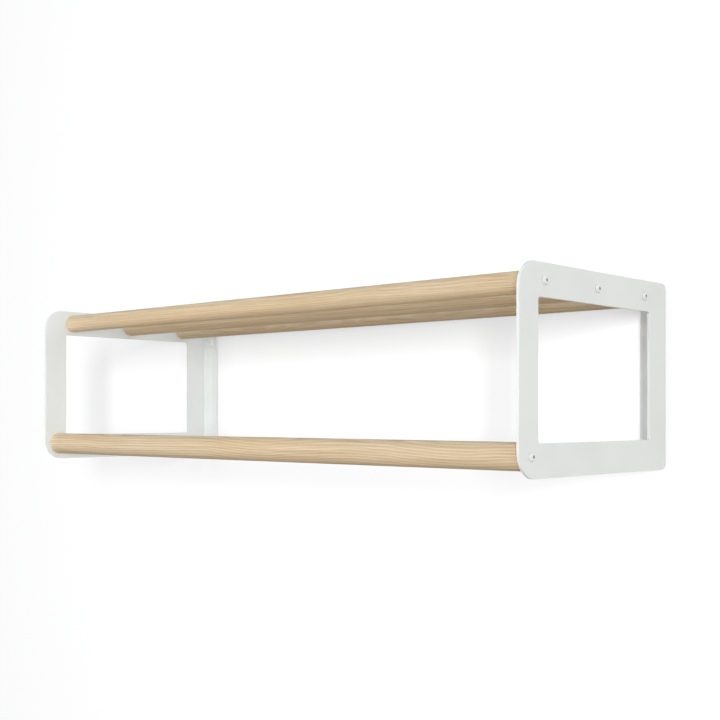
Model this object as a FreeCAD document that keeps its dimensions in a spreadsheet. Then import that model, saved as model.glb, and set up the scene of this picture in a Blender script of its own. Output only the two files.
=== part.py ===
import FreeCAD, Part
import math
import os
import Sketcher
from FreeCAD import Placement, Rotation, Vector

# Wall coat rack: two sheet-steel brackets carry three shelf dowels and one thicker hanging rail,
# each held by a button-head screw that runs into a threaded insert in the dowel's end.
# X runs along the rack, the front faces -Y, the wall is the plane Y = 0, and Z points up.
# The origin lies on the wall, midway between the round parts of the two keyholes.

doc = FreeCAD.newDocument("CoatRack")

# Driving dimensions in millimetres: name, value and what it measures.
DRIVING_DIMENSIONS = [
    ("overall_length", 800, "outer face to outer face of the brackets"),
    ("overall_height", 210, "height of a bracket"),
    ("overall_depth", 295, "wall to front edge of a bracket"),
    ("sheet_thickness", 3, "steel sheet of the brackets"),
    ("weld_radius", 3, "hollow weld between the plate and the wall flange"),
    ("flange_width", 30, "outer face of the plate to the flange's free edge"),
    ("flange_corner_radius", 4, "free corners of the wall flange"),
    ("flange_end_land", 1, "straight stretch between a rear corner and the flange's end"),
    ("front_corner_radius", 27, "front corners of the plate"),
    ("rear_corner_radius", 7, "rear corners of the plate"),
    ("bar_height", 34, "plate above and below the window"),
    ("front_post_width", 33.5, "plate in front of the window"),
    ("rear_post_width", 38.5, "window's rear edge to the wall"),
    ("window_corner_radius", 3, "corners of the window"),
    ("keyhole_drop", 35, "plate's top edge down to the keyhole's round part"),
    ("keyhole_inset", 17, "plate's outer face to the keyhole's centre line"),
    ("keyhole_round_diameter", 12, "entry for a wall screw's head"),
    ("keyhole_slot_width", 6, "seat for a wall screw's shank"),
    ("keyhole_slot_rise", 12, "round part's centre up to the slot's end centre"),
    ("lock_hole_diameter", 6, "lower wall screw hole"),
    ("lock_hole_rise", 24, "plate's bottom edge up to the lower wall screw hole"),
    ("shelf_dowel_diameter", 23.5, "the three shelf dowels"),
    ("shelf_dowel_drop", 17.5, "plate's top edge down to the shelf dowels' axes"),
    ("shelf_front_inset", 44.5, "front edge to the front shelf dowel's axis"),
    ("shelf_rear_inset", 50.5, "wall to the rear shelf dowel's axis"),
    ("rail_diameter", 28.5, "the hanging rail"),
    ("rail_front_inset", 21.5, "front edge to the rail's axis"),
    ("rail_rise", 21.5, "plate's bottom edge up to the rail's axis"),
    ("dowel_end_chamfer", 0.6, "arris taken off a dowel's end"),
    ("screw_diameter", 5, "machine screw thread"),
    ("screw_length", 16, "under the head to the tip"),
    ("screw_head_diameter", 9.5, "button head"),
    ("screw_head_height", 2.75, "button head"),
    ("screw_head_chamfer", 0.4, "rim of the button head"),
    ("hex_socket_width", 3, "across the flats of the screw's socket"),
    ("hex_socket_depth", 1.6, "screw's socket"),
    ("screw_hole_clearance", 0.25, "plate hole round a screw, on the radius"),
    ("thread_clearance", 0.05, "insert's bore round a screw, on the radius"),
    ("insert_diameter", 10, "threaded insert"),
    ("insert_length", 14, "threaded insert"),
    ("glue_gap", 0.05, "dowel's bore round an insert, on the radius"),
    ("bore_extra_depth", 0.5, "dowel's bore past an insert's inner end"),
]

HALF_SHARE = 0.5
HEXAGON_SIDES = 6
# A hexagon's corners from its centre, as a share of its width across flats.
HEX_CORNER_SHARE = 1 / math.sqrt(3)

sheet = doc.addObject("Spreadsheet::Sheet", "Sizes")
for row, (alias, value, meaning) in enumerate(DRIVING_DIMENSIONS, start=1):
    sheet.set("A%d" % row, alias)
    sheet.set("B%d" % row, str(value))
    sheet.set("C%d" % row, meaning)
    sheet.setAlias("B%d" % row, alias)
doc.recompute()


class Size:
    """A length as a number, together with the sheet expression that gives it."""

    def __init__(self, number, text):
        self.number = number
        self.text = text

    def join(self, sign, other, number):
        text = other.text if isinstance(other, Size) else repr(other)
        return Size(number, "(%s %s %s)" % (self.text, sign, text))

    def __add__(self, other):
        return self.join("+", other, self.number + number_of(other))

    def __sub__(self, other):
        return self.join("-", other, self.number - number_of(other))

    def __mul__(self, other):
        return self.join("*", other, self.number * number_of(other))

    def __neg__(self):
        return Size(-self.number, "(0 - %s)" % self.text)


def number_of(length):
    return length.number if isinstance(length, Size) else length


def size(alias):
    return Size(float(sheet.get(alias)), "<<Sizes>>.%s" % alias)


ZERO = Size(0.0, "0")


def bind(item, prop, length):
    item.setExpression(prop, length.text)


def pin(sketch, point, x, y):
    """Fixes a sketch point at a distance from the sketch's origin along each axis."""
    origin = (-1, 1)
    for kind, length, axis in (("DistanceX", x, -2), ("DistanceY", y, -1)):
        if length.number == 0:
            sketch.addConstraint(Sketcher.Constraint("PointOnObject", point[0], point[1], axis))
            continue
        ahead = length.number > 0
        ends = origin + point if ahead else point + origin
        span = length if ahead else -length
        number = sketch.addConstraint(Sketcher.Constraint(kind, *ends, span.number))
        bind(sketch, "Constraints[%d]" % number, span)


def set_radius(sketch, curve, radius):
    number = sketch.addConstraint(Sketcher.Constraint("Radius", curve, radius.number))
    bind(sketch, "Constraints[%d]" % number, radius)


def new_sketch(body, name, plane, offset=ZERO):
    """A sketch on one of the body's own origin planes, lifted along the plane's normal."""
    sketch = body.newObject("Sketcher::SketchObject", name)
    origin_plane = next(part for part in body.Origin.OriginFeatures if part.Role == plane)
    sketch.AttachmentSupport = [(origin_plane, "")]
    sketch.MapMode = "FlatFace"
    if offset.number != 0:
        bind(sketch, "AttachmentOffset.Base.z", offset)
    return sketch


def draw_outline(sketch, corners):
    """A closed outline of straight edges through the corners, each an (x, y, radius) triple.

    A radius of None leaves a corner sharp; any other radius rounds it with a tangent arc.
    """
    points = [Vector(x.number, y.number, 0) for x, y, radius in corners]
    count = len(points)
    # Where each edge leaves one corner and reaches the next, after the corners are rounded.
    starts = []
    ends = []
    for index, point in enumerate(points):
        radius = corners[index][2]
        to_before = (points[index - 1] - point).normalize()
        to_after = (points[(index + 1) % count] - point).normalize()
        cut = 0
        if radius is not None:
            cut = radius.number / math.tan(to_before.getAngle(to_after) / 2)
        ends.append(point + to_before * cut)
        starts.append(point + to_after * cut)
    edges = []
    for index in range(count):
        line = Part.LineSegment(starts[index], ends[(index + 1) % count])
        edges.append(sketch.addGeometry(line, False))
    for index, (x, y, radius) in enumerate(corners):
        before = edges[index - 1]
        after = edges[index]
        if radius is None:
            sketch.addConstraint(Sketcher.Constraint("Coincident", before, 2, after, 1))
            pin(sketch, (after, 1), x, y)
            continue
        mark = sketch.addGeometry(Part.Point(points[index]), True)
        pin(sketch, (mark, 1), x, y)
        sketch.addConstraint(Sketcher.Constraint("PointOnObject", mark, 1, before))
        sketch.addConstraint(Sketcher.Constraint("PointOnObject", mark, 1, after))
        arc, turns_left = corner_arc(points[index], ends[index], starts[index], radius.number)
        curve = sketch.addGeometry(arc, False)
        first, last = (1, 2) if turns_left else (2, 1)
        sketch.addConstraint(Sketcher.Constraint("Tangent", before, 2, curve, first))
        sketch.addConstraint(Sketcher.Constraint("Tangent", curve, last, after, 1))
        set_radius(sketch, curve, radius)


def corner_arc(corner, begin, end, radius):
    """The arc that rounds a corner between two points at the same distance from it."""
    inward = (begin + end) * HALF_SHARE - corner
    reach = math.hypot((begin - corner).Length, radius)
    centre = corner + inward.normalize() * reach
    turns_left = ((corner - begin).cross(end - corner)).z > 0
    angles = [math.atan2(point.y - centre.y, point.x - centre.x) for point in (begin, end)]
    if not turns_left:
        angles.reverse()
    circle = Part.Circle(centre, Vector(0, 0, 1), radius)
    return Part.ArcOfCircle(circle, angles[0], angles[1]), turns_left


def draw_circle(sketch, x, y, radius):
    circle = Part.Circle(Vector(x.number, y.number, 0), Vector(0, 0, 1), radius.number)
    curve = sketch.addGeometry(circle, False)
    pin(sketch, (curve, 3), x, y)
    set_radius(sketch, curve, radius)


def draw_hexagon(sketch, across_flats):
    """A hexagon round the sketch's origin, its corners on a construction circle."""
    reach = across_flats * HEX_CORNER_SHARE
    guide = sketch.addGeometry(Part.Circle(Vector(), Vector(0, 0, 1), reach.number), True)
    sketch.addConstraint(Sketcher.Constraint("Coincident", guide, 3, -1, 1))
    set_radius(sketch, guide, reach)
    corners = []
    for step in range(HEXAGON_SIDES):
        angle = math.pi / 2 + 2 * math.pi * step / HEXAGON_SIDES
        corners.append(Vector(math.cos(angle), math.sin(angle), 0) * reach.number)
    edges = [
        sketch.addGeometry(Part.LineSegment(corners[step - 1], corners[step]), False)
        for step in range(HEXAGON_SIDES)
    ]
    for step in range(HEXAGON_SIDES):
        sketch.addConstraint(Sketcher.Constraint("Coincident", edges[step - 1], 2, edges[step], 1))
        sketch.addConstraint(Sketcher.Constraint("PointOnObject", edges[step], 1, guide))
        if step:
            sketch.addConstraint(Sketcher.Constraint("Equal", edges[0], edges[step]))
    sketch.addConstraint(Sketcher.Constraint("PointOnObject", edges[0], 2, -2))


def draw_keyhole(sketch, x, y, round_radius, slot_radius, slot_rise):
    """A keyhole: a round entry open at its top into a narrower slot with a half-round end."""
    half_mouth = math.asin(slot_radius.number / round_radius.number)
    up = math.pi / 2
    entry_centre = Vector(x.number, y.number, 0)
    slot_centre = Vector(x.number, (y + slot_rise).number, 0)
    normal = Vector(0, 0, 1)
    entry_circle = Part.Circle(entry_centre, normal, round_radius.number)
    slot_circle = Part.Circle(slot_centre, normal, slot_radius.number)
    entry_arc = Part.ArcOfCircle(entry_circle, up + half_mouth, up - half_mouth + 2 * math.pi)
    slot_arc = Part.ArcOfCircle(slot_circle, 0, math.pi)
    left_side = Part.LineSegment(slot_arc.EndPoint, entry_arc.StartPoint)
    right_side = Part.LineSegment(entry_arc.EndPoint, slot_arc.StartPoint)
    entry, slot, left, right = sketch.addGeometry(
        [entry_arc, slot_arc, left_side, right_side], False
    )
    sketch.addConstraint(Sketcher.Constraint("Tangent", slot, 2, left, 1))
    sketch.addConstraint(Sketcher.Constraint("Coincident", left, 2, entry, 1))
    sketch.addConstraint(Sketcher.Constraint("Coincident", entry, 2, right, 1))
    sketch.addConstraint(Sketcher.Constraint("Tangent", right, 2, slot, 1))
    sketch.addConstraint(Sketcher.Constraint("Vertical", left))
    sketch.addConstraint(Sketcher.Constraint("Vertical", right))
    pin(sketch, (entry, 3), x, y)
    pin(sketch, (slot, 3), x, y + slot_rise)
    set_radius(sketch, entry, round_radius)
    set_radius(sketch, slot, slot_radius)


def pad(body, name, sketch, length):
    feature = body.newObject("PartDesign::Pad", name)
    feature.Profile = sketch
    bind(feature, "Length", length)
    return finish_feature(body, feature)


def cut_through(body, name, sketch):
    """Cuts the sketch through all that lies on either side of it."""
    feature = body.newObject("PartDesign::Pocket", name)
    feature.Profile = sketch
    feature.Type = "ThroughAll"
    feature.SideType = "Symmetric"
    return finish_cut(body, feature)


def cut_down(body, name, sketch, depth):
    """Cuts the sketch against its own normal."""
    feature = body.newObject("PartDesign::Pocket", name)
    feature.Profile = sketch
    bind(feature, "Length", depth)
    return finish_cut(body, feature)


def turn(body, name, sketch):
    """Turns a half section round the sketch's horizontal axis."""
    feature = body.newObject("PartDesign::Revolution", name)
    feature.Profile = sketch
    feature.ReferenceAxis = (sketch, ["H_Axis"])
    feature.Angle = 360
    return finish_feature(body, feature)


def finish_feature(body, feature):
    doc.recompute()
    if feature.Shape.isNull() or not feature.Shape.isValid():
        raise RuntimeError("%s of %s has no valid shape" % (feature.Label, body.Label))
    return feature


def finish_cut(body, feature):
    before = body.Shape.Volume if feature.BaseFeature is None else feature.BaseFeature.Shape.Volume
    finish_feature(body, feature)
    if feature.Shape.Volume >= before:
        raise RuntimeError("%s of %s removes nothing" % (feature.Label, body.Label))
    return feature


def new_body(label):
    return doc.addObject("PartDesign::Body", label)


def place(body, x, y, z):
    bind(body, "Placement.Base.x", x)
    bind(body, "Placement.Base.y", y)
    bind(body, "Placement.Base.z", z)


# Heights and depths that several pieces share.
half_length = size("overall_length") * HALF_SHARE
height = size("overall_height")
depth = size("overall_depth")
sheet_thickness = size("sheet_thickness")
plate_top = size("keyhole_drop")
plate_bottom = plate_top - height
shelf_level = plate_top - size("shelf_dowel_drop")
rail_level = plate_bottom + size("rail_rise")
front_edge = -depth
dowel_half_length = half_length - sheet_thickness
screw_radius = size("screw_diameter") * HALF_SHARE

# Each dowel: its name, its axis behind the front edge, its level and its diameter.
front_inset = size("shelf_front_inset")
rear_inset = depth - size("shelf_rear_inset")
middle_inset = (front_inset + rear_inset) * HALF_SHARE
shelf_diameter = size("shelf_dowel_diameter")
DOWELS = [
    ("front_shelf", "dowel", front_inset, shelf_level, shelf_diameter),
    ("middle_shelf", "dowel", middle_inset, shelf_level, shelf_diameter),
    ("rear_shelf", "dowel", rear_inset, shelf_level, shelf_diameter),
    ("hanging", "rail", size("rail_front_inset"), rail_level, size("rail_diameter")),
]


def make_right_bracket():
    """The right bracket: a plate with a wall flange welded inside its rear edge.

    Its own frame starts at the plate's inner face, front edge and bottom edge.
    """
    body = new_body("right_bracket")
    front_round = size("front_corner_radius")
    rear_round = size("rear_corner_radius")

    plate_sketch = new_sketch(body, "PlateOutline", "YZ_Plane")
    draw_outline(plate_sketch, [
        (ZERO, ZERO, front_round),
        (depth, ZERO, rear_round),
        (depth, height, rear_round),
        (ZERO, height, front_round),
    ])
    pad(body, "Plate", plate_sketch, sheet_thickness)

    # The flange ends just short of the plate's rounded rear corners. Its section takes in the
    # plate's rear post, so that the weld's hollow runs smoothly into the plate.
    flange_end = rear_round + size("flange_end_land")
    free_edge = sheet_thickness - size("flange_width")
    window_rear = depth - size("rear_post_width")
    flange_sketch = new_sketch(body, "FlangeSection", "XY_Plane", flange_end)
    draw_outline(flange_sketch, [
        (ZERO, window_rear, None),
        (sheet_thickness, window_rear, None),
        (sheet_thickness, depth, None),
        (free_edge, depth, None),
        (free_edge, depth - sheet_thickness, None),
        (ZERO, depth - sheet_thickness, size("weld_radius")),
    ])
    flange = pad(body, "WallFlange", flange_sketch, height - flange_end * 2)

    rounded = body.newObject("PartDesign::Fillet", "FlangeCorners")
    rounded.Base = (flange, free_corner_names(flange.Shape, free_edge.number))
    bind(rounded, "Radius", size("flange_corner_radius"))
    finish_feature(body, rounded)

    bar = size("bar_height")
    window_round = size("window_corner_radius")
    window_sketch = new_sketch(body, "WindowOutline", "YZ_Plane")
    draw_outline(window_sketch, [
        (size("front_post_width"), bar, window_round),
        (window_rear, bar, window_round),
        (window_rear, height - bar, window_round),
        (size("front_post_width"), height - bar, window_round),
    ])
    cut_through(body, "Window", window_sketch)

    hole_radius = screw_radius + size("screw_hole_clearance")
    holes_sketch = new_sketch(body, "ScrewHoleCentres", "YZ_Plane")
    for name, kind, inset, level, diameter in DOWELS:
        draw_circle(holes_sketch, inset, level - plate_bottom, hole_radius)
    cut_through(body, "ScrewHoles", holes_sketch)

    hole_line = sheet_thickness - size("keyhole_inset")
    keyhole_sketch = new_sketch(body, "KeyholeOutline", "XZ_Plane")
    draw_keyhole(
        keyhole_sketch,
        hole_line,
        height - size("keyhole_drop"),
        size("keyhole_round_diameter") * HALF_SHARE,
        size("keyhole_slot_width") * HALF_SHARE,
        size("keyhole_slot_rise"),
    )
    cut_through(body, "Keyhole", keyhole_sketch)

    lock_sketch = new_sketch(body, "LockHoleCentre", "XZ_Plane")
    draw_circle(
        lock_sketch, hole_line, size("lock_hole_rise"), size("lock_hole_diameter") * HALF_SHARE
    )
    cut_through(body, "LockHole", lock_sketch)

    place(body, dowel_half_length, front_edge, plate_bottom)
    return body


def free_corner_names(shape, free_edge):
    """The short edges across the sheet at the two free corners of the wall flange."""
    names = []
    for number, edge in enumerate(shape.Edges, start=1):
        along = edge.Vertexes[-1].Point - edge.Vertexes[0].Point
        at_free_edge = abs(edge.CenterOfMass.x - free_edge) < Part.Precision.confusion()
        if at_free_edge and abs(along.y) > Part.Precision.confusion():
            names.append("Edge%d" % number)
    return names


def make_left_bracket(right_bracket):
    """The left bracket is the right one's mirror image."""
    bracket = doc.addObject("Part::Mirroring", "left_bracket")
    bracket.Source = right_bracket
    bracket.Base = Vector(0, 0, 0)
    bracket.Normal = Vector(1, 0, 0)
    return bracket


def make_dowel(name, inset, level, diameter):
    """A dowel between the plates, bored at each end for a threaded insert."""
    body = new_body(name)
    radius = diameter * HALF_SHARE
    half = dowel_half_length
    chamfer = size("dowel_end_chamfer")
    bore_radius = size("insert_diameter") * HALF_SHARE + size("glue_gap")
    bore_end = half - size("insert_length") - size("bore_extra_depth")
    right_end = [
        (half - chamfer, radius, None),
        (half, radius - chamfer, None),
        (half, bore_radius, None),
        (bore_end, bore_radius, None),
        (bore_end, ZERO, None),
    ]
    left_end = [(-x, y, corner) for x, y, corner in reversed(right_end)]
    section = new_sketch(body, "HalfSection", "XY_Plane")
    draw_outline(section, right_end + left_end)
    turn(body, "Turned", section)
    place(body, ZERO, front_edge + inset, level)
    return body


def make_screw(name, side, inset, level):
    """A button-head screw with a hexagon socket; its head rests on the plate's outer face."""
    body = new_body(name)
    tip = -size("screw_length")
    head_radius = size("screw_head_diameter") * HALF_SHARE
    head_height = size("screw_head_height")
    chamfer = size("screw_head_chamfer")
    section = new_sketch(body, "HalfSection", "XY_Plane")
    draw_outline(section, [
        (tip, ZERO, None),
        (tip, screw_radius, None),
        (ZERO, screw_radius, None),
        (ZERO, head_radius, None),
        (head_height - chamfer, head_radius, None),
        (head_height, head_radius - chamfer, None),
        (head_height, ZERO, None),
    ])
    turn(body, "Turned", section)
    socket = new_sketch(body, "SocketOutline", "YZ_Plane", head_height)
    draw_hexagon(socket, size("hex_socket_width"))
    cut_down(body, "Socket", socket, size("hex_socket_depth"))
    face_outwards(body, side)
    place(body, outward(side, half_length), front_edge + inset, level)
    return body


def make_insert(name, side, inset, level):
    """A threaded insert, flush with the dowel's end."""
    body = new_body(name)
    radius = size("insert_diameter") * HALF_SHARE
    bore_radius = screw_radius + size("thread_clearance")
    inner_end = -size("insert_length")
    section = new_sketch(body, "HalfSection", "XY_Plane")
    draw_outline(section, [
        (ZERO, bore_radius, None),
        (inner_end, bore_radius, None),
        (inner_end, radius, None),
        (ZERO, radius, None),
    ])
    turn(body, "Turned", section)
    face_outwards(body, side)
    place(body, outward(side, dowel_half_length), front_edge + inset, level)
    return body


def outward(side, length):
    return length if side == "right" else -length


def face_outwards(body, side):
    if side == "left":
        body.Placement = Placement(Vector(), Rotation(Vector(0, 0, 1), 180))


def check_document():
    """Stops if any object failed to recompute."""
    for item in doc.Objects:
        if "Invalid" in item.State or "Error" in item.State:
            raise RuntimeError("%s has state %s" % (item.Label, item.State))


def export(parts):
    """Writes one file for each piece, named by its label."""
    os.makedirs("parts", exist_ok=True)
    for part in parts:
        shape = part.Shape
        if shape.isNull() or not shape.isValid() or len(shape.Solids) != 1:
            raise RuntimeError("%s is not one valid solid" % part.Label)
        shape.exportStep(os.path.join("parts", part.Label + ".step"))
        print("%-26s %10.1f mm3" % (part.Label, shape.Volume))


right_bracket = make_right_bracket()
parts = [right_bracket, make_left_bracket(right_bracket)]
for name, kind, inset, level, diameter in DOWELS:
    parts.append(make_dowel("%s_%s" % (name, kind), inset, level, diameter))
    for side in ("left", "right"):
        fixing = "%s_%s" % (side, name)
        parts.append(make_screw(fixing + "_screw", side, inset, level))
        parts.append(make_insert(fixing + "_insert", side, inset, level))
doc.recompute()
check_document()
export(parts)
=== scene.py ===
import bpy
import math
import numpy as np
from mathutils.geometry import delaunay_2d_cdt
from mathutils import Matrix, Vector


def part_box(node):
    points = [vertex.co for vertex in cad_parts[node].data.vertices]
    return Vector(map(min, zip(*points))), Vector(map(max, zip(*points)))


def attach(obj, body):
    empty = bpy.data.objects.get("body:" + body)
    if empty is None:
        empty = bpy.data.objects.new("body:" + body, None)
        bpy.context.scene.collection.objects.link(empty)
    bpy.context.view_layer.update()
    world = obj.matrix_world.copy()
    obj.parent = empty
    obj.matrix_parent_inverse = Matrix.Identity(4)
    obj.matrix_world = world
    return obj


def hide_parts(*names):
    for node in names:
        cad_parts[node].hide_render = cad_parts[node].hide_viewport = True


# Wall coat rack: two white sheet-steel brackets, three shelf dowels and a thicker hanging rail.
# X runs along the rack, the wall is the plane Y = 0, Z points up, and lengths are in metres.

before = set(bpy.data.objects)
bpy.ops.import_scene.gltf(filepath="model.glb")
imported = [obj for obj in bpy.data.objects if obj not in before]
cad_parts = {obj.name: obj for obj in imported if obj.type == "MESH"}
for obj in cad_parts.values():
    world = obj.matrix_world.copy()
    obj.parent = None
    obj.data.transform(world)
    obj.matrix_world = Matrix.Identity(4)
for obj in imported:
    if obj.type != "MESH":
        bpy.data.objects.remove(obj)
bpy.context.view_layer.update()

MM = 0.001
FULL_TURN = 2 * math.pi
QUARTER_TURN = math.pi / 2

# The brackets' sizes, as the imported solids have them.
RIGHT_LOW, RIGHT_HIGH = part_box("right_bracket")
OUTER_X = RIGHT_HIGH.x
FRONT_Y = RIGHT_LOW.y
BOTTOM_Z = RIGHT_LOW.z
HEIGHT = RIGHT_HIGH.z - RIGHT_LOW.z
DEPTH = -FRONT_Y
SHEET = 3 * MM
WELD_RADIUS = 3 * MM
FLANGE_WIDTH = 30 * MM
FLANGE_CORNER = 4 * MM
FLANGE_END = 8 * MM
FRONT_CORNER = 27 * MM
REAR_CORNER = 7 * MM
FRONT_POST = 33.5 * MM
REAR_POST = 38.5 * MM
BAR = 34 * MM
WINDOW_CORNER = 3 * MM
SCREW_HOLE_RADIUS = 2.75 * MM
KEYHOLE_DROP = 35 * MM
KEYHOLE_INSET = 17 * MM
KEYHOLE_RADIUS = 6 * MM
KEYHOLE_SLOT = 3 * MM
KEYHOLE_RISE = 12 * MM
KEYHOLE_LIP = 0.7 * MM
LOCK_HOLE_RADIUS = 3 * MM
LOCK_HOLE_RISE = 24 * MM

# The coated sheet's softened arrises, and how far the flange and the weld run into the metal that
# they meet.
EDGE_ROUND = 0.35 * MM
EDGE_STEPS = 6
OVERLAP = 2 * EDGE_ROUND

# The dowels' ends.
DOWEL_ARRIS = 0.6 * MM
BORE_RADIUS = 5.05 * MM
BORE_DEPTH = 14.5 * MM
SMALL_ARRIS = 0.15 * MM
DOWEL_SPOKES = 144

# The screws. The head's heights are above the plate's outer face.
SCREW_SPOKES = 96
SCREW_RADIUS = 2.5 * MM
SCREW_LENGTH = 16 * MM
SCREW_POINT = 0.625 * MM
HEAD_RADIUS = 4.75 * MM
HEAD_SIDE = 1.0 * MM
HEAD_UNDERCUT = 0.7 * MM
HEAD_HEIGHT = 2.75 * MM
HEAD_FLAT_RADIUS = 2.9 * MM
DOME_STEPS = 14
SOCKET_WIDTH = 3 * MM
SOCKET_DEPTH = 1.6 * MM
SOCKET_LEAD_IN = 0.12 * MM
SHARP_ANGLE = math.radians(30)

# The socket's rows that are painted grey as shade, from the middle of the socket's floor to the
# top of its wall, and the name of the points' attribute that is 1 there.
SOCKET_SHADE_ROWS = 3
SOCKET_SHADE_ATTRIBUTE = "painted_socket_shade"

# The most that a chord may leave its arc, the fewest points on an arc, and the distance under
# which two points are the same.
CHORD_GAP = 0.003 * MM
FEWEST_POINTS = 3
SAME_SPOT = CHORD_GAP / 10

# The triangulation's settings: it fills the whole hull, and takes points this close together, in
# millimetres, for one.
WHOLE_HULL = 0
SAME_CORNER = 1e-6

# The dowels' nodes, each with the name that its two screws and inserts share.
DOWELS = {
    "front_shelf_dowel": "front_shelf",
    "middle_shelf_dowel": "middle_shelf",
    "rear_shelf_dowel": "rear_shelf",
    "hanging_rail": "hanging",
}


def middle_of(node):
    low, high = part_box(node)
    return np.array((low + high) / 2)


# Paths in a plane, each with its metal or wood on the left

def arc(centre, radius, begin, end):
    """Points of an arc, and the direction from each to the material on the path's left.

    A point is the centre plus the radius times (cos, sin) of an angle that runs from begin to
    end. The material lies towards the centre on a left turn and away from it on a right turn.
    """
    step = 2 * math.acos(1 - CHORD_GAP / radius)
    count = max(FEWEST_POINTS, math.ceil(abs(end - begin) / step) + 1)
    angles = np.linspace(begin, end, count)
    spokes = np.stack([np.cos(angles), np.sin(angles)], axis=1)
    side = -spokes if end > begin else spokes
    return np.array(centre) + radius * spokes, side


def join(pieces):
    """Joins pieces of a path end to end, and drops a point that repeats the one before it."""
    points, side = (np.concatenate(arrays) for arrays in zip(*pieces))
    apart = np.linalg.norm(points - np.roll(points, 1, axis=0), axis=1) > SAME_SPOT
    return points[apart], side[apart]


def corner_arc(before, corner, after, radius):
    """The arc that rounds a corner: its centre lies on the line that halves the corner."""
    back = (before - corner) / np.linalg.norm(before - corner)
    ahead = (after - corner) / np.linalg.norm(after - corner)
    half_opening = math.acos(np.clip(back @ ahead, -1, 1)) / 2
    inward = (back + ahead) / np.linalg.norm(back + ahead)
    centre = corner + inward * radius / math.sin(half_opening)
    first = corner + back * radius / math.tan(half_opening) - centre
    turn = math.pi - 2 * half_opening
    if ahead[0] * back[1] < ahead[1] * back[0]:
        turn = -turn
    begin = math.atan2(first[1], first[0])
    return arc(centre, radius, begin, begin + turn)


def closed_path(corners):
    """A closed path of straight runs and rounded corners, each corner (along, up, radius)."""
    spots = np.array([corner[:2] for corner in corners])
    count = len(corners)
    return join([
        corner_arc(spots[index - 1], spots[index], spots[(index + 1) % count], corners[index][2])
        for index in range(count)
    ])


def open_path(corners):
    """A path from its first to its last corner, rounded at all the corners in between."""
    spots = np.array([corner[:2] for corner in corners])
    pieces = [
        corner_arc(spots[index - 1], spots[index], spots[index + 1], corners[index][2])
        for index in range(1, len(corners) - 1)
    ]
    ends = [
        (spots[end][None], side[None])
        for end, side in ((0, pieces[0][1][0]), (-1, pieces[-1][1][-1]))
    ]
    return join([ends[0], *pieces, ends[1]])


def round_hole(along, up, radius):
    return join([arc((along, up), radius, FULL_TURN, 0)])


def keyhole(along, up):
    """A round entry that opens at its top into a slot with a half-round end.

    The lips where entry and slot meet are small arcs. Their centres lie one lip radius outside
    the entry's circle and one lip radius beside the slot.
    """
    lip_x = KEYHOLE_SLOT + KEYHOLE_LIP
    lip_y = math.sqrt((KEYHOLE_RADIUS + KEYHOLE_LIP) ** 2 - lip_x ** 2)
    lean = math.atan2(lip_y, lip_x)
    return join([
        arc((along + lip_x, up + lip_y), KEYHOLE_LIP, math.pi, math.pi + lean),
        arc((along, up), KEYHOLE_RADIUS, lean, -math.pi - lean),
        arc((along - lip_x, up + lip_y), KEYHOLE_LIP, -lean, 0),
        arc((along, up + KEYHOLE_RISE), KEYHOLE_SLOT, math.pi, 0),
    ])


# New pieces

def new_piece(name, points, faces, material, node, normals=None):
    """A smooth-shaded piece that stands for a CAD node and rides on the rack.

    Without normals of its own, the piece has sharp edges where its faces meet at an angle.
    """
    mesh = bpy.data.meshes.new(name)
    mesh.from_pydata(points.tolist(), [], faces)
    mesh.materials.append(material)
    mesh.shade_smooth()
    if normals is None:
        mesh.set_sharp_from_angle(angle=SHARP_ANGLE)
    else:
        mesh.normals_split_custom_set_from_vertices(normals.tolist())
    piece = bpy.data.objects.new(name, mesh)
    bpy.context.scene.collection.objects.link(piece)
    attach(piece, "root")
    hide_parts(node)
    return piece


# Brackets

def sheet_edge():
    """The sheet's edge from its outer to its inner face, as rows of inset, in and tilt.

    A quarter arc leaves the outer face, a straight side crosses the sheet, and a second quarter
    arc meets the inner face. Tilt is the angle of the surface's normal, from minus a quarter turn
    on the outer face to plus a quarter turn on the inner face, with nought on the side.
    """
    lean = np.linspace(0, QUARTER_TURN, EDGE_STEPS)
    inset = EDGE_ROUND * (1 - np.sin(lean))
    depth = EDGE_ROUND * (1 - np.cos(lean))
    tilt = lean - QUARTER_TURN
    return (
        np.concatenate([inset, inset[::-1]]),
        np.concatenate([depth, SHEET - depth[::-1]]),
        np.concatenate([tilt, -tilt[::-1]]),
    )


def plate_loops():
    """The plate's outline, its window and its screw holes, from its front and bottom edges."""
    outline = closed_path([
        (0, 0, FRONT_CORNER),
        (DEPTH, 0, REAR_CORNER),
        (DEPTH, HEIGHT, REAR_CORNER),
        (0, HEIGHT, FRONT_CORNER),
    ])
    window = closed_path([
        (FRONT_POST, BAR, WINDOW_CORNER),
        (FRONT_POST, HEIGHT - BAR, WINDOW_CORNER),
        (DEPTH - REAR_POST, HEIGHT - BAR, WINDOW_CORNER),
        (DEPTH - REAR_POST, BAR, WINDOW_CORNER),
    ])
    holes = []
    for node in DOWELS:
        centre = middle_of(node)
        holes.append(round_hole(centre[1] - FRONT_Y, centre[2] - BOTTOM_Z, SCREW_HOLE_RADIUS))
    return [outline, window, *holes]


def flange_loops():
    """The wall flange's outline and its holes, from the plate's outer face and bottom edge."""
    outline = closed_path([
        (SHEET - OVERLAP, FLANGE_END, EDGE_ROUND),
        (FLANGE_WIDTH, FLANGE_END, FLANGE_CORNER),
        (FLANGE_WIDTH, HEIGHT - FLANGE_END, FLANGE_CORNER),
        (SHEET - OVERLAP, HEIGHT - FLANGE_END, EDGE_ROUND),
    ])
    return [
        outline,
        keyhole(KEYHOLE_INSET, HEIGHT - KEYHOLE_DROP),
        round_hole(KEYHOLE_INSET, LOCK_HOLE_RISE, LOCK_HOLE_RADIUS),
    ]


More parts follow.
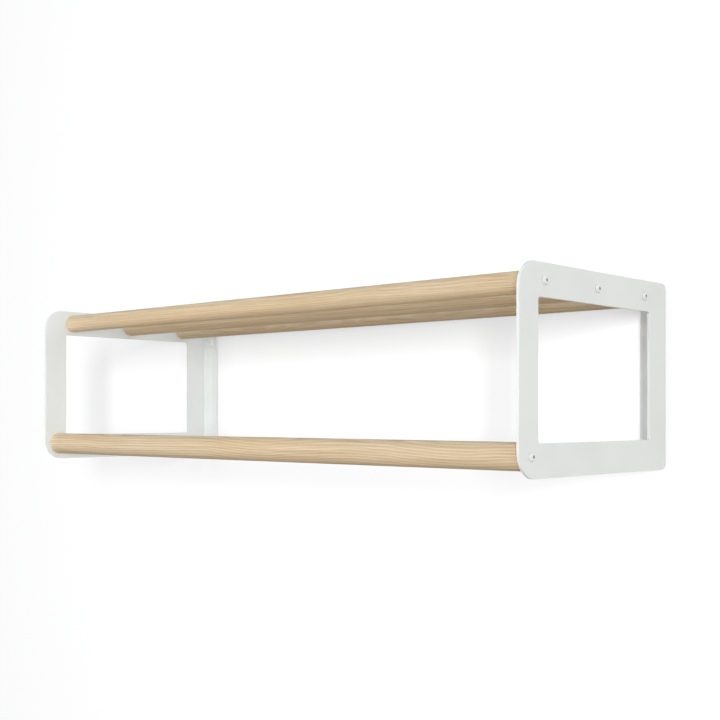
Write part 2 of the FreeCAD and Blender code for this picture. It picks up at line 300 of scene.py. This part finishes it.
def fill_flat(rims):
    """Triangles of the flat face between the rims, by constrained Delaunay triangulation.

    A triangle is kept where a level line from its middle crosses the rims an odd number of times.
    """
    spots = np.concatenate(rims)
    first = np.cumsum([0] + [len(rim) for rim in rims[:-1]])
    edges = np.concatenate([
        start + np.stack([np.arange(len(rim)), np.roll(np.arange(len(rim)), -1)], axis=1)
        for start, rim in zip(first, rims)
    ])
    _, _, cells, sources, _, _ = delaunay_2d_cdt(
        (spots / MM).tolist(), edges.tolist(), [], WHOLE_HULL, SAME_CORNER
    )
    source = np.array([numbers[0] for numbers in sources])
    triangles = source[np.array(cells)]
    middle = spots[triangles].mean(axis=1)
    a, b = spots[edges[:, 0]], spots[edges[:, 1]]
    spans = (a[:, 1] > middle[:, 1:]) != (b[:, 1] > middle[:, 1:])
    rise = np.where(a[:, 1] == b[:, 1], 1, b[:, 1] - a[:, 1])
    meets = a[:, 0] + (middle[:, 1:] - a[:, 1]) * (b[:, 0] - a[:, 0]) / rise
    inside = (spans & (meets > middle[:, :1])).sum(axis=1) % 2 == 1
    return triangles[inside]


def flat_sheet(loops, corner, axes):
    """Points, normals and faces of a flat sheet.

    The axes are the directions along the sheet, up it, and in through it from its outer face.
    Each loop carries the sheet's edge: a point is the loop's point, moved towards the metal by
    the edge's inset, at the edge's depth in the sheet. The flat faces fill the loops' rims.
    """
    inset, depth, tilt = sheet_edge()
    rows = len(inset)
    flat, directions, bands, rims = [], [], [], []
    start = 0
    for points, side in loops:
        count = len(points)
        spread = points[:, None] + side[:, None] * inset[:, None]
        flat.append(np.dstack([spread, np.broadcast_to(depth, (count, rows))]))
        lateral = -side[:, None] * np.cos(tilt)[:, None]
        directions.append(np.dstack([lateral, np.broadcast_to(np.sin(tilt), (count, rows))]))
        here = start + np.arange(count * rows).reshape(count, rows)
        after = np.roll(here, -1, axis=0)
        bands.append(np.dstack([here[:, :-1], here[:, 1:], after[:, 1:], after[:, :-1]]))
        rims.append(spread[:, 0])
        start += count * rows
    flat = np.concatenate([part.reshape(-1, 3) for part in flat])
    directions = np.concatenate([part.reshape(-1, 3) for part in directions])
    outer = fill_flat(rims) * rows
    inner = outer[:, ::-1] + rows - 1
    bands = np.concatenate([band.reshape(-1, 4) for band in bands])
    faces = outer.tolist() + inner.tolist() + bands.tolist()
    return np.array(corner) + flat @ axes, directions @ axes, faces


def weld():
    """The hollow weld in the corner between plate and flange, carried along the flange.

    Its section is a quarter circle that touches the plate's inner face and the flange's front,
    with the direction away from the metal pointing to its centre, closed by a point in the metal.
    """
    centre = np.array([OUTER_X - SHEET - WELD_RADIUS, -SHEET - WELD_RADIUS])
    hollow, side = arc(centre, WELD_RADIUS, 0, QUARTER_TURN)
    section = np.concatenate([hollow, [centre + WELD_RADIUS + OVERLAP / 2]])
    away = np.concatenate([side, [[-math.sqrt(0.5), -math.sqrt(0.5)]]])
    count = len(section)
    levels = BOTTOM_Z + np.array([FLANGE_END, HEIGHT - FLANGE_END])
    points = np.concatenate([np.insert(section, 2, level, axis=1) for level in levels])
    normals = np.concatenate([np.insert(away, 2, 0, axis=1)] * 2)
    here = np.arange(count)
    beside = np.roll(here, -1)
    sides = np.stack([here, here + count, beside + count, beside], axis=1)
    return points, normals, [here.tolist(), (here[::-1] + count).tolist(), *sides.tolist()]


def make_brackets(material):
    """The right bracket's plate, wall flange and weld in one mesh, and its mirror image."""
    shells = [
        flat_sheet(plate_loops(), (OUTER_X, FRONT_Y, BOTTOM_Z), [(0, 1, 0), (0, 0, 1), (-1, 0, 0)]),
        flat_sheet(flange_loops(), (OUTER_X, 0, BOTTOM_Z), [(-1, 0, 0), (0, 0, 1), (0, -1, 0)]),
        weld(),
    ]
    points = np.concatenate([shell[0] for shell in shells])
    normals = np.concatenate([shell[1] for shell in shells])
    faces = []
    start = 0
    for shell_points, _, shell_faces in shells:
        faces += [[start + number for number in face] for face in shell_faces]
        start += len(shell_points)
    for node, side in (("right_bracket", 1), ("left_bracket", -1)):
        scale = np.array([side, 1, 1])
        new_piece(
            node + "_sheet", points * scale, [face[::side] for face in faces], material,
            node, normals=normals * scale,
        )


# Turned pieces

def turned_faces(rows, spokes):
    """Faces between the rows of a turned grid, with a fan at each of its two poles."""
    numbers = np.arange(rows * spokes).reshape(rows, spokes)
    beside = np.roll(numbers, -1, axis=1)
    quads = np.stack([numbers[:-1], numbers[1:], beside[1:], beside[:-1]], axis=2).reshape(-1, 4)
    first_pole = rows * spokes
    first = np.stack([beside[0], np.full(spokes, first_pole), numbers[0]], axis=1)
    last = np.stack([numbers[-1], np.full(spokes, first_pole + 1), beside[-1]], axis=1)
    return quads.tolist() + first.tolist() + last.tolist()


def spoke_angles(spokes):
    return np.arange(spokes) * FULL_TURN / spokes


def make_dowel(node, material):
    """A dowel, turned from its half section about its own axis.

    A point is (along, radius cos, radius sin), and its normal is turned with it from the half
    section's own.
    """
    low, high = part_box(node)
    half = high.x
    radius = (high.z - low.z) / 2
    end = [
        (half - BORE_DEPTH, 0, 0),
        (half - BORE_DEPTH, BORE_RADIUS, SMALL_ARRIS),
        (half, BORE_RADIUS, SMALL_ARRIS),
        (half, radius, DOWEL_ARRIS),
    ]
    other_end = [(-along, out, rounding) for along, out, rounding in reversed(end)]
    section, side = open_path(end + other_end)
    angles = spoke_angles(DOWEL_SPOKES)
    cos, sin = np.cos(angles), np.sin(angles)

    def turn(rows):
        level = np.broadcast_to(rows[:, :1], (len(rows), DOWEL_SPOKES))
        return np.dstack([level, rows[:, 1:] * cos, rows[:, 1:] * sin]).reshape(-1, 3)

    points = np.concatenate([turn(section[1:-1]), [[section[0, 0], 0, 0], [section[-1, 0], 0, 0]]])
    normals = np.concatenate([turn(-side[1:-1]), [[-side[0, 0], 0, 0], [-side[-1, 0], 0, 0]]])
    centre = middle_of(node)
    faces = turned_faces(len(section) - 2, DOWEL_SPOKES)
    new_piece(node + "_wood", points + centre, faces, material, node, normals=normals)


def screw_rows():
    """The screw's rows from its socket's floor to its tip: along, radius and hexagon share.

    The dome is a circle's arc whose centre is on the axis, from the head's flat to its side. A
    hexagon share of 1 gives a row the socket's six-sided outline.
    """
    flat_to_side = HEAD_HEIGHT - HEAD_SIDE
    below = (HEAD_RADIUS ** 2 - HEAD_FLAT_RADIUS ** 2 - flat_to_side ** 2) / (2 * flat_to_side)
    dome_radius = math.hypot(HEAD_RADIUS, below)
    lean = np.linspace(
        math.asin(HEAD_FLAT_RADIUS / dome_radius), math.asin(HEAD_RADIUS / dome_radius), DOME_STEPS
    )
    dome_along = HEAD_SIDE - below + dome_radius * np.cos(lean)
    floor = HEAD_HEIGHT - SOCKET_DEPTH
    socket = SOCKET_WIDTH / 2
    rows = [
        (floor, socket / 2, 1),
        (floor, socket, 1),
        (HEAD_HEIGHT - SOCKET_LEAD_IN, socket, 1),
        (HEAD_HEIGHT, socket + SOCKET_LEAD_IN, 1),
    ]
    rows += [(along, out, 0) for along, out in zip(dome_along, dome_radius * np.sin(lean))]
    rows += [
        (HEAD_UNDERCUT, HEAD_RADIUS, 0),
        (0, HEAD_RADIUS - HEAD_UNDERCUT, 0),
        (0, SCREW_RADIUS, 0),
        (SCREW_POINT - SCREW_LENGTH, SCREW_RADIUS, 0),
        (-SCREW_LENGTH, SCREW_RADIUS - SCREW_POINT, 0),
    ]
    return np.array(rows), floor


def make_screws(material):
    """The eight button-head screws, which are one turned grid and its mirror image.

    Where a row has the socket's outline, its radius is its own size over the cosine of the angle
    to the middle of the nearest flat, and elsewhere it is its own size.
    """
    rows, floor = screw_rows()
    angles = spoke_angles(SCREW_SPOKES)
    sixth = FULL_TURN / 6
    hexagon = 1 / np.cos(np.mod(angles, sixth) - sixth / 2)
    radius = rows[:, 1:2] * np.where(rows[:, 2:] > 0, hexagon, 1)
    level = np.broadcast_to(rows[:, :1], radius.shape)
    grid = np.dstack([level, radius * np.sin(angles), radius * np.cos(angles)])
    poles = [[floor, 0, 0], [-SCREW_LENGTH, 0, 0]]
    points = np.concatenate([grid.reshape(-1, 3), poles]) + [OUTER_X, 0, 0]
    faces = turned_faces(len(rows), SCREW_SPOKES)
    # The socket's floor and wall carry the painted shade.
    socket_shade = np.zeros(len(points))
    socket_shade[:SOCKET_SHADE_ROWS * SCREW_SPOKES] = 1
    socket_shade[-len(poles)] = 1
    for node, fixing in DOWELS.items():
        centre = middle_of(node) * [0, 1, 1]
        for hand, side in (("right", 1), ("left", -1)):
            name = "%s_%s_screw" % (hand, fixing)
            here = points * [side, 1, 1] + centre
            turned = [face[::-side] for face in faces]
            screw = new_piece(name + "_button_head", here, turned, material, name)
            screw.data.attributes.new(SOCKET_SHADE_ATTRIBUTE, "FLOAT", "POINT").data.foreach_set("value", socket_shade)


# Materials

class Reading:
    """A number that changes over a surface: a node's output that sums can be written with."""

    def __init__(self, nodes, socket):
        self.nodes = nodes
        self.socket = socket

    def combine(self, operation, first, second):
        return self.nodes.add("ShaderNodeMath", {"operation": operation}, {0: first, 1: second})

    def __add__(self, other):
        return self.combine("ADD", self, other)

    def __radd__(self, other):
        return self.combine("ADD", other, self)

    def __sub__(self, other):
        return self.combine("SUBTRACT", self, other)

    def __rsub__(self, other):
        return self.combine("SUBTRACT", other, self)

    def __mul__(self, other):
        return self.combine("MULTIPLY", self, other)

    def __rmul__(self, other):
        return self.combine("MULTIPLY", other, self)

    def __truediv__(self, other):
        return self.combine("DIVIDE", self, other)

    def __rtruediv__(self, other):
        return self.combine("DIVIDE", other, self)

    def __pow__(self, other):
        return self.combine("POWER", self, other)

    def __rpow__(self, other):
        return self.combine("POWER", other, self)


class Nodes:
    """The nodes of a material or of the room, and the way to add more."""

    def __init__(self, owner):
        owner.use_nodes = True
        self.tree = owner.node_tree

    def add(self, kind, settings=None, inputs=None, output=0, stops=None):
        """Adds a node: first its settings and its ramp's stops, then its sockets' values."""
        node = self.tree.nodes.new(kind)
        for name, value in (settings or {}).items():
            setattr(node, name, value)
        if stops:
            ramp = node.color_ramp
            while len(ramp.elements) < len(stops):
                ramp.elements.new(1)
            for element, (position, colour) in zip(ramp.elements, stops):
                element.position = position
                element.color = (*colour, 1)
        for name, value in (inputs or {}).items():
            self.set(node.inputs[name], value)
        return Reading(self, node.outputs[output])

    def set(self, socket, value):
        if isinstance(value, Reading):
            self.tree.links.new(value.socket, socket)
        else:
            socket.default_value = value

    def seen(self):
        """1 for what the camera sees, also in reflections and through clear things, and else 0."""
        return (
            self.add("ShaderNodeLightPath", output="Is Camera Ray")
            + self.add("ShaderNodeLightPath", output="Is Glossy Ray")
            + self.add("ShaderNodeLightPath", output="Is Transmission Ray")
        )

    def show(self, shader, output):
        """Leads a shader to the output node."""
        self.tree.links.new(shader.socket, self.tree.nodes[output].inputs["Surface"])


class Finish(Nodes):
    """A node material."""

    def __init__(self, name):
        self.material = bpy.data.materials.new(name)
        super().__init__(self.material)
        self.shader = self.tree.nodes["Principled BSDF"]

    def dress(self, **sockets):
        """Sets the shader's own sockets, named with underscores for blanks."""
        for name, value in sockets.items():
            self.set(self.shader.inputs[name.replace("_", " ")], value)

    def place(self):
        return self.add("ShaderNodeTexCoord", output="Object")

    def stretch(self, vector, scale, shift):
        """The vector times the scale plus the shift, axis by axis."""
        return self.add(
            "ShaderNodeVectorMath", {"operation": "MULTIPLY_ADD"},
            {0: vector, 1: scale, 2: shift},
        )

    def noise(self, place, size, shift, detail, roughness=0.5):
        """Noise whose marks have the size, axis by axis, with its whole pattern shifted."""
        return self.add(
            "ShaderNodeTexNoise", {"noise_dimensions": "3D"}, {
                "Vector": self.stretch(place, [1 / length for length in size], shift),
                "Scale": 1.0, "Detail": detail, "Roughness": roughness,
            },
        )

    def wander(self, along):
        """Smooth noise of one number, from about -0.5 to 0.5."""
        return self.add(
            "ShaderNodeTexNoise", {"noise_dimensions": "1D"},
            {"W": along, "Scale": 1.0, "Detail": 1.0, "Roughness": 0.5},
        ) - 0.5

    def ease(self, value, low, high):
        """0 below low, 1 above high, and a smooth rise in between."""
        return self.add(
            "ShaderNodeMapRange", {"interpolation_type": "SMOOTHSTEP"},
            {"Value": value, "From Min": low, "From Max": high, "To Min": 0.0, "To Max": 1.0},
        )

    def blend(self, factor, first, second, mode="MIX"):
        """The two colours mixed. A colour is a triple or the output of another node."""
        first, second = (
            colour if isinstance(colour, Reading) else (*colour, 1) for colour in (first, second)
        )
        return self.add(
            "ShaderNodeMix", {"data_type": "RGBA", "blend_type": mode},
            {0: factor, 6: first, 7: second}, output=2,
        )

    def ramp(self, value, stops):
        return self.add("ShaderNodeValToRGB", None, {0: value}, stops=stops)

    def bump(self, height, distance):
        return self.add(
            "ShaderNodeBump", None, {"Height": height, "Distance": distance, "Strength": 1.0},
            output="Normal",
        )


# The powder coat. Each noise has the size of its marks, its shift and its detail, and edges are
# the values between which a noise's smooth step rises.
COAT = (0.800, 0.825, 0.812)
CLOUDED = 0.965
COAT_ROUGHNESS = 0.50
COAT_ROUGHNESS_SPREAD = 0.16
COAT_RELIEF = 0.035 * MM
COAT_IOR = 1.5
PEEL = ([2.6 * MM] * 3, (3.1, 7.7, 1.3), 1.0)
PEEL_SHARE = 0.6
POWDER = ([0.45 * MM] * 3, (9.2, 0.4, 5.8), 1.0)
CLOUD = ([60 * MM] * 3, (2.0, 4.0, 6.0), 2.0)
CLOUD_EDGES = (0.3, 0.7)
# The dark grey painted inside the screws' sockets as shade.
SOCKET_SHADE_GREY = (0.42, 0.42, 0.42)


def powder_coat(name):
    """Fine matt powder coat: a faint orange peel with a grain of fused powder on it.

    Inside the screws' sockets the colour is a dark grey: painted shade in the recess.
    """
    finish = Finish(name)
    place = finish.place()
    peel = finish.noise(place, *PEEL)
    powder = finish.noise(place, *POWDER)
    cloud = finish.ease(finish.noise(place, *CLOUD), *CLOUD_EDGES)
    coat = finish.blend(cloud, tuple(channel * CLOUDED for channel in COAT), COAT)
    # The painted socket shade, read from the screws' points.
    socket_shade = finish.add("ShaderNodeAttribute", {"attribute_name": SOCKET_SHADE_ATTRIBUTE}, output="Fac")
    finish.dress(
        Base_Color=finish.blend(socket_shade, coat, SOCKET_SHADE_GREY),
        Roughness=powder * COAT_ROUGHNESS_SPREAD + (COAT_ROUGHNESS - COAT_ROUGHNESS_SPREAD / 2),
        Normal=finish.bump(peel * PEEL_SHARE + powder * (1 - PEEL_SHARE), COAT_RELIEF),
        IOR=COAT_IOR,
    )
    return finish.material


# The oak's colours.
WOOD_DARK = (0.570, 0.418, 0.252)
WOOD_MIDDLE = (0.674, 0.526, 0.348)
WOOD_PALE = (0.770, 0.636, 0.452)
WARM_TINT = (1.0, 0.955, 0.90)
PORE_COLOUR = (0.36, 0.235, 0.125)
PORE_STRENGTH = 0.38

# The oak's gloss and relief: what the bare wood has, and what fibres, pores and rings add.
OAK_IOR = 1.45
OAK_SHEEN = 0.12
OAK_ROUGHNESS = 0.48
FIBRE_ROUGHNESS = 0.18
PORE_ROUGHNESS = 0.15
OAK_RELIEF = 0.06 * MM
FIBRE_RELIEF = 0.35
RING_RELIEF = 0.25

# The oak's noises, in millimetres from a dowel's own axis. Each has the length, width and thickness
# of its marks, its shift for a seed of 1, its detail and in one case its roughness.
DRIFT = ((90, 5, 5), (1, 2, 3), 2.0)
FIBRE = ((32, 0.55, 0.55), (4, 1, 2), 3.0, 0.6)
STREAK = ((160, 2.2, 2.2), (6, 2, 1), 2.0)
PORE = ((7, 0.22, 0.22), (1, 5, 3), 1.0)
PATCH = ((170, 26, 26), (8, 3, 2), 1.0)
PATCH_EDGES = (0.35, 0.70)
PORE_EDGES = (0.60, 0.72)

# How many years the drift moves a ring, and how much the fibres and the streaks change the tone.
DRIFT_YEARS = 0.8
FIBRE_CONTRAST = 0.9
STREAK_CONTRAST = 1.5

# The year's tones between which late wood closes the pores, and the share of a pore that it closes.
LATE_WOOD_EDGES = (0.25, 0.80)
CLOSED_SHARE = 0.7

# One year's tones from its start to its end: 0 is porous early wood and 1 is dense late wood.
YEAR_TONES = [(0.0, 0.35), (0.12, 0.0), (0.45, 0.45), (0.82, 1.0), (0.93, 0.9), (1.0, 0.35)]

# The tree's heart wanders on Y and on Z, each in a slow and a quick bend. A bend has its length,
# its shift for a seed of 1 and its reach.
HEART_BENDS = (
    ((310, 1, 16), (70, 3, 1.6)),
    ((260, 7, 13), (55, 5, 1.4)),
)

# Each dowel's material, the heart's place beside the dowel's axis on Y and Z, the spacing of the
# year rings, the seed, and the rings' contrast.
WOODS = {
    "front_shelf_dowel": ("oak_front", (34, -62), 2.3, 1.7, 0.42),
    "middle_shelf_dowel": ("oak_middle", (-45, 48), 2.6, 4.1, 0.42),
    "rear_shelf_dowel": ("oak_rear", (70, 20), 2.1, 7.9, 0.38),
    "hanging_rail": ("oak_rail", (-14, 58), 3.1, 11.3, 0.62),
}


def oak(node, name, heart, ring_gap, seed, contrast):
    """Straight-grained pale wood, matt lacquered.

    The year rings are cylinders round the tree's heart, which lies some centimetres off the
    dowel's axis and wanders slowly along it: a point's year is its distance from the heart over
    the rings' spacing, plus a little noise that is drawn out along the grain. Through one year
    the colour goes from dark porous early wood to pale late wood and back. Fibres and pores are
    noises drawn out along the grain, and the pores lie mostly in the early wood.
    """
    finish = Finish(name)
    local = finish.stretch(finish.place(), [1 / MM] * 3, (-middle_of(node) / MM).tolist())
    split = finish.add("ShaderNodeSeparateXYZ", None, {0: local})
    along, *across = (Reading(finish, socket) for socket in split.socket.node.outputs)

    def drawn_out(size, shift, *looks):
        return finish.noise(local, size, [seed * step for step in shift], *looks)

    off_heart = []
    for way, bends, centre in zip(across, HEART_BENDS, heart):
        for length, step, reach in bends:
            way = way + finish.wander(along / length + seed * step) * reach
        off_heart.append(way - centre)
    off_y, off_z = off_heart
    distance = (off_y * off_y + off_z * off_z) ** 0.5
    year = finish.add("ShaderNodeMath", {"operation": "FRACT"}, {
        0: distance / ring_gap + drawn_out(*DRIFT) * DRIFT_YEARS,
    })
    ring = finish.ramp(year, [(position, (tone,) * 3) for position, tone in YEAR_TONES])
    fibre = drawn_out(*FIBRE)
    tone = (
        (ring - 0.5) * contrast + (fibre - 0.5) * FIBRE_CONTRAST
        + (drawn_out(*STREAK) - 0.5) * STREAK_CONTRAST + 0.5
    )
    colour = finish.ramp(tone, [(0.0, WOOD_DARK), (0.5, WOOD_MIDDLE), (1.0, WOOD_PALE)])
    patch = finish.ease(drawn_out(*PATCH), *PATCH_EDGES)
    warm = finish.blend(patch, colour, WARM_TINT, mode="MULTIPLY")
    closed = finish.ease(ring, *LATE_WOOD_EDGES) * CLOSED_SHARE
    pore = finish.ease(drawn_out(*PORE), *PORE_EDGES) * (1 - closed)
    finish.dress(
        Base_Color=finish.blend(pore * PORE_STRENGTH, warm, PORE_COLOUR),
        Roughness=fibre * FIBRE_ROUGHNESS + pore * PORE_ROUGHNESS + OAK_ROUGHNESS,
        Normal=finish.bump(fibre * FIBRE_RELIEF - pore + ring * RING_RELIEF, OAK_RELIEF),
        IOR=OAK_IOR,
        Specular_IOR_Level=OAK_SHEEN,
    )
    return finish.material


# The inserts' brass. Its turned rings change along X alone, so their marks have no end on Y and Z.
BRASS = (0.74, 0.58, 0.31)
STAINED_BRASS = (0.62, 0.45, 0.21)
BRASS_ROUGHNESS = 0.22
BRASS_ROUGHNESS_SPREAD = 0.2
BRASS_RELIEF = 0.01 * MM
TURNED_RINGS = ((0.12 * MM, math.inf, math.inf), (0, 0, 0), 1.0)
STAIN = ([3 * MM] * 3, (1, 2, 3), 2.0)
STAIN_EDGES = (0.35, 0.70)


def turned_brass():
    """Brass with the fine rings that turning leaves."""
    finish = Finish("turned_brass")
    place = finish.place()
    stain = finish.noise(place, *STAIN)
    finish.dress(
        Base_Color=finish.blend(finish.ease(stain, *STAIN_EDGES), BRASS, STAINED_BRASS),
        Metallic=1.0,
        Roughness=stain * BRASS_ROUGHNESS_SPREAD + BRASS_ROUGHNESS,
        Normal=finish.bump(finish.noise(place, *TURNED_RINGS), BRASS_RELIEF),
    )
    return finish.material


def dress_inserts(material):
    for fixing in DOWELS.values():
        for hand in ("left", "right"):
            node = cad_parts["%s_%s_insert" % (hand, fixing)]
            node.data.materials.clear()
            node.data.materials.append(material)


# Studio

STAGE_HALF_WIDTH = 7.0
WALL_TOP = 4.5
FLOOR_Z = -1.45
WALL_GAP = 0.4 * MM

# The stage's paint: how much it glows by itself, the share of light that it gives back, and how
# far from the rack and how strongly its glow is darkened there, a painted contact shadow.
WALL_GLOW = 0.70
WALL_SHARE = 0.12
FLOOR_GLOW = 0.74
FLOOR_SHARE = 0.35
CONTACT_REACH = 70 * MM
CONTACT_SHADE = 0.48

# The softboxes: place, the spot that each faces, width and height. Their strengths are what a
# white sheet at that spot gives back. The wall has a stronger key of its own, which draws the
# shadows there.
KEY_BOX = ((3.06, -3.56, 0.20), (0.0, -0.15, -0.07), 0.55, 1.0)
KEY_STRENGTH = 0.25
WALL_KEY_STRENGTH = 3.3
FRONT_BOX = ((-0.05, -2.0, 0.04), (-0.05, -0.15, -0.07), 2.0, 1.6)
FRONT_STRENGTH = 0.77
REAR_BOX = ((-1.7, 2.7, 0.05), (0.0, -0.15, -0.07), 1.6, 1.6)
REAR_STRENGTH = 0.50

# The room's light: the side that it comes from, and its colour and strength there.
ROOM_LIGHT = [
    ((1, 0, 0), (1.0, 1.0, 1.0), 0.80),
    ((0, 0, 1), (0.60, 0.78, 1.0), 0.46),
    ((0, 1, 0), (1.0, 0.80, 0.52), 0.52),
]

# The camera stands level, turned about Z from looking straight at the wall. Its lens and sensor are
# in millimetres.
CAMERA_PLACE = (1.003001, -1.189185, -0.113432)
CAMERA_TURN = math.radians(41.962)
CAMERA_LENS = 56.75
CAMERA_SENSOR = 36
CAMERA_SHIFT_Y = 0.0765


def stage_paint(name, glow, share):
    """White paint that glows by itself and gives back a share of the light that falls on it.

    Its glow is darker where the rack touches it or nearly does: a painted contact shadow. Only the
    camera and reflections see it, and only from the front. Elsewhere light passes, so that the
    rack's back is lit and can be looked at.
    """
    finish = Finish(name)
    behind = finish.add("ShaderNodeNewGeometry", output="Backfacing")
    clear = finish.add("ShaderNodeBsdfTransparent")
    # Ambient occlusion near the rack darkens the glow: a painted contact shadow.
    open_air = finish.add(
        "ShaderNodeAmbientOcclusion", None, {"Distance": CONTACT_REACH}, output="AO"
    )
    finish.dress(
        Base_Color=(share, share, share, 1),
        Roughness=1.0,
        Specular_IOR_Level=0.0,
        Emission_Color=finish.blend(open_air, (CONTACT_SHADE,) * 3, (1, 1, 1)),
        Emission_Strength=glow,
    )
    painted = Reading(finish, finish.shader.outputs[0])
    shown = finish.seen() * (1 - behind)
    mixed = finish.add("ShaderNodeMixShader", None, {0: shown, 1: clear, 2: painted})
    finish.show(mixed, "Material Output")
    return finish.material


def new_stage(name, corners, material):
    mesh = bpy.data.meshes.new(name)
    mesh.from_pydata(corners, [], [(0, 1, 2, 3)])
    mesh.materials.append(material)
    board = bpy.data.objects.new(name, mesh)
    bpy.context.scene.collection.objects.link(board)
    return board


def build_stage():
    """The floor and the wall, of which the wall is handed back."""
    side = STAGE_HALF_WIDTH
    new_stage("studio_floor", [
        (-side, -side, FLOOR_Z), (side, -side, FLOOR_Z),
        (side, side, FLOOR_Z), (-side, side, FLOOR_Z),
    ], stage_paint("floor_paint", FLOOR_GLOW, FLOOR_SHARE))
    return new_stage("studio_wall", [
        (-side, WALL_GAP, FLOOR_Z), (side, WALL_GAP, FLOOR_Z),
        (side, WALL_GAP, WALL_TOP), (-side, WALL_GAP, WALL_TOP),
    ], stage_paint("wall_paint", WALL_GLOW, WALL_SHARE))


def add_softbox(name, strength, place, aim, width, height, only=None):
    """A softbox whose power is its strength times the square of pi times its distance.

    It faces the aim: its turn about X is the angle between straight up and the way from the aim to
    the softbox, and its turn about Z is that way's bearing. It lights all that there is, or only
    one object.
    """
    away = np.array(place) - aim
    reach = np.linalg.norm(away)
    light = bpy.data.lights.new(name, "AREA")
    light.shape = "RECTANGLE"
    light.size = width
    light.size_y = height
    light.energy = strength * (math.pi * reach) ** 2
    lamp = bpy.data.objects.new(name, light)
    lamp.location = place
    lamp.rotation_euler = (math.acos(away[2] / reach), 0, math.atan2(away[0], -away[1]))
    lamp.visible_camera = False
    bpy.context.scene.collection.objects.link(lamp)
    if only:
        lit = bpy.data.collections.new(name + "_receivers")
        lit.objects.link(only)
        lamp.light_linking.receiver_collection = lit


def light_room():
    """Light from each side, as strong as the cosine of the angle from that side.

    The camera, reflections and clear things see a plain white room instead.
    """
    world = bpy.data.worlds.new("room")
    bpy.context.scene.world = world
    room = Nodes(world)
    way = room.add("ShaderNodeTexCoord")
    sides = []
    for side, colour, strength in ROOM_LIGHT:
        facing = room.add(
            "ShaderNodeVectorMath", {"operation": "DOT_PRODUCT"}, {0: way, 1: side}, output="Value"
        )
        falling = room.add("ShaderNodeMath", {"operation": "MAXIMUM"}, {0: facing, 1: 0.0})
        sides.append(room.add(
            "ShaderNodeBackground", None,
            {"Color": (*colour, 1), "Strength": falling * strength},
        ))
    light = sides[0]
    for side in sides[1:]:
        light = room.add("ShaderNodeAddShader", None, {0: light, 1: side})
    white = room.add("ShaderNodeBackground", None, {"Color": (1, 1, 1, 1), "Strength": 1.0})
    mixed = room.add("ShaderNodeMixShader", None, {0: room.seen(), 1: light, 2: white})
    room.show(mixed, "World Output")


def place_camera():
    camera = bpy.data.cameras.new("camera")
    camera.sensor_width = CAMERA_SENSOR
    camera.lens = CAMERA_LENS
    camera.shift_y = CAMERA_SHIFT_Y
    stand = bpy.data.objects.new("camera", camera)
    stand.location = CAMERA_PLACE
    stand.rotation_euler = (QUARTER_TURN, 0, CAMERA_TURN)
    bpy.context.scene.collection.objects.link(stand)
    bpy.context.scene.camera = stand


place_camera()
wall = build_stage()
add_softbox("key", KEY_STRENGTH, *KEY_BOX)
add_softbox("wall_key", WALL_KEY_STRENGTH, *KEY_BOX, only=wall)
add_softbox("front", FRONT_STRENGTH, *FRONT_BOX)
add_softbox("rear", REAR_STRENGTH, *REAR_BOX)
light_room()
make_brackets(powder_coat("white_powder_coat"))
for node, wood in WOODS.items():
    make_dowel(node, oak(node, *wood))
make_screws(powder_coat("white_screw"))
dress_inserts(turned_brass())

bpy.context.scene.view_settings.view_transform = "Standard"

bpy.context.view_layer.update()
